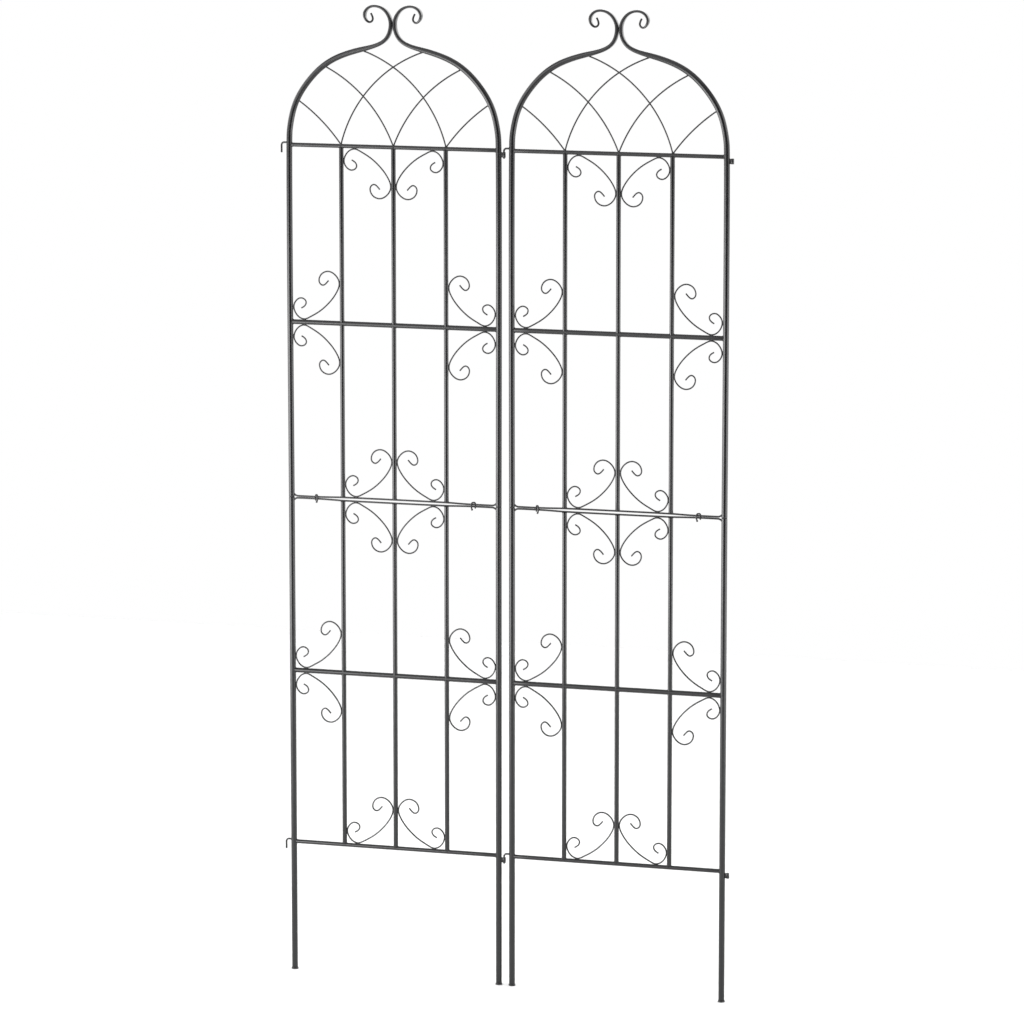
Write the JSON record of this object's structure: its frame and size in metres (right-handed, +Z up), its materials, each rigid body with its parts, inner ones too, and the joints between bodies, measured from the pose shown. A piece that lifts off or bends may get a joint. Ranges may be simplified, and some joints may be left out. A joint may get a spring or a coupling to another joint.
{
  "type": "garden trellis panel pair",
  "caption": "Arched metal garden trellis of hooked panels with scrollwork, lattice tops and curled finials, pushed into soil to hold climbing plants.",
  "frame": {"origin": "middle of the set at ground level, in the plane of the panels, under the middle of its width", "axes": "+Z up, +X along the set from the free hooks to the free eyes, -Y out of the front faces"},
  "size_m": [1.0444, 0.0158, 2.1984],
  "materials": {
    "powder_coat": "satin black powder coat with a fine orange peel",
    "clip_wire": "black coated spring wire",
    "foot_plastic": "moulded black plastic, matte"
  },
  "bodies": {
    "left_panel": {"left_stile_left": "powder_coat", "left_leg_left": "powder_coat", "left_foot_plug_left": "foot_plastic", "left_stile_right": "powder_coat", "left_leg_right": "powder_coat", "left_foot_plug_right": "foot_plastic", "left_top_rail": "powder_coat", "left_upper_cross_rail": "powder_coat", "left_upper_joint_rod": "powder_coat", "left_lower_joint_rod": "powder_coat", "left_lower_cross_rail": "powder_coat", "left_bottom_rail": "powder_coat", "left_upper_bar_1": "powder_coat", "left_lower_bar_1": "powder_coat", "left_upper_bar_2": "powder_coat", "left_lower_bar_2": "powder_coat", "left_upper_bar_3": "powder_coat", "left_lower_bar_3": "powder_coat", "left_lattice": "powder_coat", "left_eye_top": "powder_coat", "left_eye_bottom": "powder_coat", "left_hook_top": "powder_coat", "left_hook_bottom": "powder_coat"},
    "right_panel": {"right_stile_left": "powder_coat", "right_leg_left": "powder_coat", "right_foot_plug_left": "foot_plastic", "right_stile_right": "powder_coat", "right_leg_right": "powder_coat", "right_foot_plug_right": "foot_plastic", "right_top_rail": "powder_coat", "right_upper_cross_rail": "powder_coat", "right_upper_joint_rod": "powder_coat", "right_lower_joint_rod": "powder_coat", "right_lower_cross_rail": "powder_coat", "right_bottom_rail": "powder_coat", "right_upper_bar_1": "powder_coat", "right_lower_bar_1": "powder_coat", "right_upper_bar_2": "powder_coat", "right_lower_bar_2": "powder_coat", "right_upper_bar_3": "powder_coat", "right_lower_bar_3": "powder_coat", "right_lattice": "powder_coat", "right_eye_top": "powder_coat", "right_eye_bottom": "powder_coat", "right_hook_top": "powder_coat", "right_hook_bottom": "powder_coat"},
    "left_clip_left": {"left_clip_left": "clip_wire"},
    "left_clip_right": {"left_clip_right": "clip_wire"},
    "right_clip_left": {"right_clip_left": "clip_wire"},
    "right_clip_right": {"right_clip_right": "clip_wire"}
  },
  "joints": [
    {"name": "panel_swing", "type": "hinge", "parent": "left_panel", "child": "right_panel", "pos_m": [-0.00085, 0, 0], "axis": [0, 0, 1], "range_deg": [-120, 120]},
    {"name": "left_clip_left_slide", "type": "slide", "parent": "left_panel", "child": "left_clip_left", "axis": [1, 0, 0], "range_m": [-0.035, 0]},
    {"name": "left_clip_right_slide", "type": "slide", "parent": "left_panel", "child": "left_clip_right", "axis": [1, 0, 0], "range_m": [0, 0.035]},
    {"name": "right_clip_left_slide", "type": "slide", "parent": "right_panel", "child": "right_clip_left", "axis": [1, 0, 0], "range_m": [-0.035, 0]},
    {"name": "right_clip_right_slide", "type": "slide", "parent": "right_panel", "child": "right_clip_right", "axis": [1, 0, 0], "range_m": [0, 0.035]}
  ]
}
